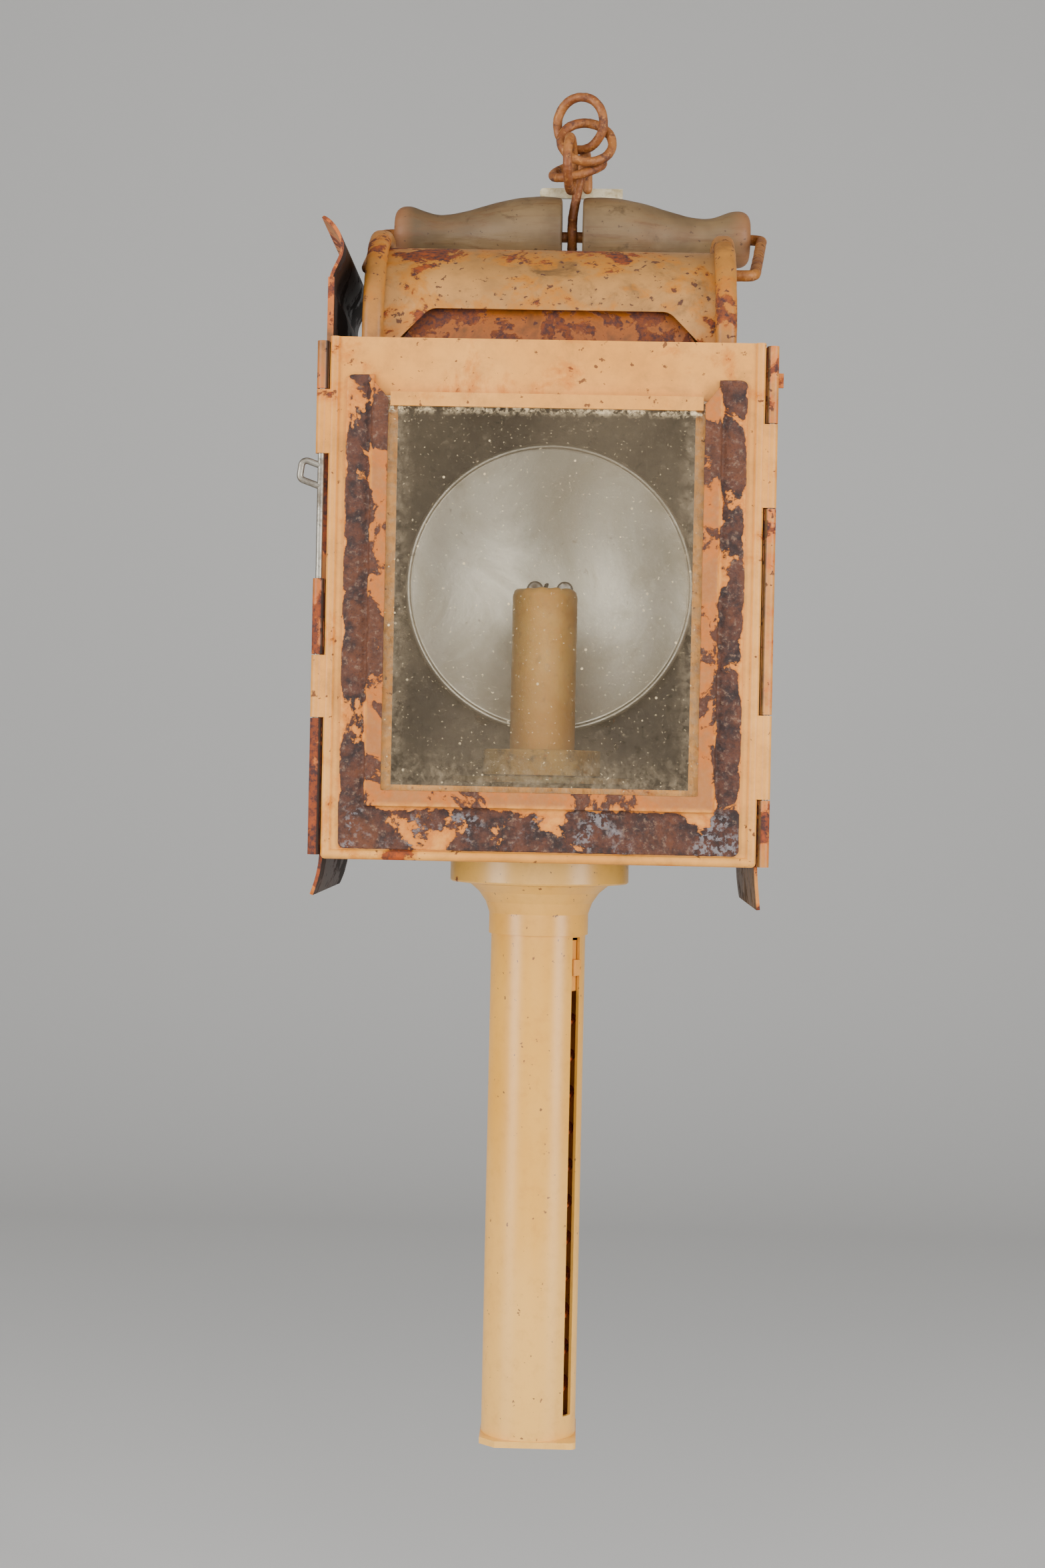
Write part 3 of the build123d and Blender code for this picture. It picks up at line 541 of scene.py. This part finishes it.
def grip(node, x_in, x_out):
    """One half of the handle: inner face with a worn rim, swell, neck, bulb and rounded end."""
    lo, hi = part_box(node)
    axis = ((lo[0] + hi[0]) / 2, (lo[1] + hi[1]) / 2, (lo[2] + hi[2]) / 2)
    way = 1 if x_out > x_in else -1
    bore = 2.1
    shape = [(0.0, bore), (0.0, 11.9), (0.25, 12.7), (0.9, 13.2), (3, 13.42), (7, 13.48), (12, 13.2),
             (17, 12.45), (22.5, 11.2), (28, 9.65), (32, 8.45), (36, 7.5), (39, 7.0), (41.5, 6.85), (44, 7.1),
             (46.5, 7.8), (49, 8.7), (51, 9.3), (53, 9.5), (54.8, 9.2), (56.1, 8.4), (56.9, 7.2), (57.2, 6.0),
             (57.25, bore)]
    profile = curve_points(shape[1:-1], 4)
    profile = [shape[0]] + profile + [shape[-1]]
    profile = [((x_in + way * x) * MM, r * MM) for x, r in profile]
    obj = lathe_x(node.replace("grip", "turned_grip"), profile, axis, WOOD, wobble=0.012, seed=x_in)
    seat(obj, node, node + "_half")


grip("grip_left", 2.2, -55.1)
grip("grip_right", 9.2, 66.5)


def candle():
    """Candle with a chipped, slightly slumped top edge and a shallow melt pool around the wick."""
    lo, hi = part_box("candle")
    cx, cy = (lo[0] + hi[0]) / 2, (lo[1] + hi[1]) / 2
    low, top = lo[2], hi[2]
    r0 = (hi[0] - lo[0]) / 2
    rings = [(r0 * 0.96, low), (r0 * 0.985, low + 0.001)]
    rings += [(r0 * 0.985, low + 0.001 + (top - low - 0.004) * i / 40) for i in range(1, 41)]
    rings += [(r0 * 0.975, top - 0.0022), (r0 * 0.94, top - 0.0010), (r0 * 0.87, top - 0.0003),
              (r0 * 0.76, top - 0.0002), (r0 * 0.6, top - 0.0007), (r0 * 0.42, top - 0.0013),
              (r0 * 0.2, top - 0.0016)]
    steps = 72
    bm = bmesh.new()
    rows = []
    for r, z in rings:
        row = []
        for i in range(steps):
            a = 2 * pi * i / steps
            n = noise.noise(Vector((cos(a) * 1.4, sin(a) * 1.4, z * 45)))
            n2 = noise.noise(Vector((cos(a) * 3, sin(a) * 3, z * 150 + 7)))
            near_top = max(0.0, 1 - (top - z) / 0.006)
            rr = r * (1 + 0.010 * n - 0.004)
            zz = z + (0.0009 * n2 - 0.0007) * near_top * (r / r0) ** 2
            row.append(bm.verts.new((cx + rr * cos(a), cy + rr * sin(a), zz)))
        rows.append(row)
    close_stack(bm, rows)
    seat(link("wax_candle", bm, WAX), "candle", "candle_stack")


def wick():
    """Burnt stub of wick that leans a little."""
    lo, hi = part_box("wick")
    thick, steps = 0.0008, 20
    x, y, z = lo[0] + thick, hi[1] - thick, lo[2]
    lean = ((0.0, 0.0, 0.8), (0.05, 1.0, 0.78), (0.2, 2.0, 0.74), (0.45, 2.7, 0.62), (0.6, 3.0, 0.35))
    bm = bmesh.new()
    rows = []
    for dx, dz, r in lean:
        row = []
        for i in range(steps):
            a = 2 * pi * i / steps
            rr = r * MM * (1 + 0.12 * noise.noise(Vector((cos(a) * 2, sin(a) * 2, dz))))
            row.append(bm.verts.new((x + dx * MM + rr * cos(a), y + rr * sin(a), z + dz * MM)))
        rows.append(row)
    close_stack(bm, rows)
    seat(link("burnt_wick", bm, WICK), "wick", "candle_stack")


candle()
wick()


# ---------------------------------------------------------------- stage, lights and camera
def sweep_floor():
    """Pale floor that curves up into a wall. The lantern hangs above it by its bracket, with room to draw the
    tube down."""
    low = cad_box[0][2] - DRAW_ROOM
    profile = [(-2.2, 0.0), (0.9, 0.0)]
    for i in range(1, 13):
        a = radians(90) * i / 12
        profile.append((0.9 + 0.6 * sin(a), 0.6 - 0.6 * cos(a)))
    profile.append((1.5, 2.6))
    bm = bmesh.new()
    rows = [[bm.verts.new((x, y, low + z)) for x in (-3.2, 3.2)] for y, z in profile]
    for a, b in zip(rows[:-1], rows[1:]):
        bm.faces.new((a[0], a[1], b[1], b[0])).smooth = True
    mesh = bpy.data.meshes.new("floor")
    bm.to_mesh(mesh)
    obj = bpy.data.objects.new("floor", mesh)
    bpy.context.collection.objects.link(obj)
    g = Graph("floor_paper")
    cloud = g.noise(0.4, 3, 0.5)
    mesh.materials.append(g.finish(g.mix(cloud, (0.60, 0.59, 0.57), (0.66, 0.65, 0.63)), 0.9))


def area(name, place, aim, size, power):
    """A soft rectangular light that looks at a point."""
    data = bpy.data.lights.new(name, "AREA")
    data.shape, data.size, data.size_y = "RECTANGLE", size[0], size[1]
    data.energy = power
    obj = bpy.data.objects.new(name, data)
    obj.location = place
    obj.rotation_euler = (Vector(aim) - Vector(place)).to_track_quat("-Z", "Y").to_euler()
    bpy.context.collection.objects.link(obj)


sweep_floor()
area("box_left", (-0.95, -0.75, 0.12), (0, -0.05, -0.04), (0.45, 1.1), 17)
area("box_right", (0.95, -0.75, 0.12), (0, -0.05, -0.04), (0.45, 1.1), 17)
area("top_fill", (0.0, -0.7, 1.0), (0, 0, 0), (1.0, 0.8), 3)
area("front_fill", (0.0, -1.6, 0.25), (0, 0, -0.02), (1.2, 0.9), 10)
world = bpy.data.worlds.new("studio")
world.use_nodes = True
sky = world.node_tree.nodes["Background"]
sky.inputs["Color"].default_value = (0.95, 0.97, 1.0, 1.0)
sky.inputs["Strength"].default_value = 0.24
bpy.context.scene.world = world

camera_data = bpy.data.cameras.new("camera")
camera_data.sensor_fit = "VERTICAL"
camera_data.sensor_height = 36
camera_data.sensor_width = 24
camera_data.lens = 57.4
camera_data.clip_start = 0.02
camera = bpy.data.objects.new("camera", camera_data)
bpy.context.collection.objects.link(camera)
bpy.context.scene.camera = camera
YAW, PITCH, ROLL = radians(1.31), radians(-0.17), radians(1.2)
EYE = (0.0122, -0.845, -0.0526)
camera.matrix_world = (Matrix.Translation(EYE) @ Matrix.Rotation(YAW, 4, "Z")
                       @ Matrix.Rotation(pi / 2 + PITCH, 4, "X") @ Matrix.Rotation(ROLL, 4, "Z"))
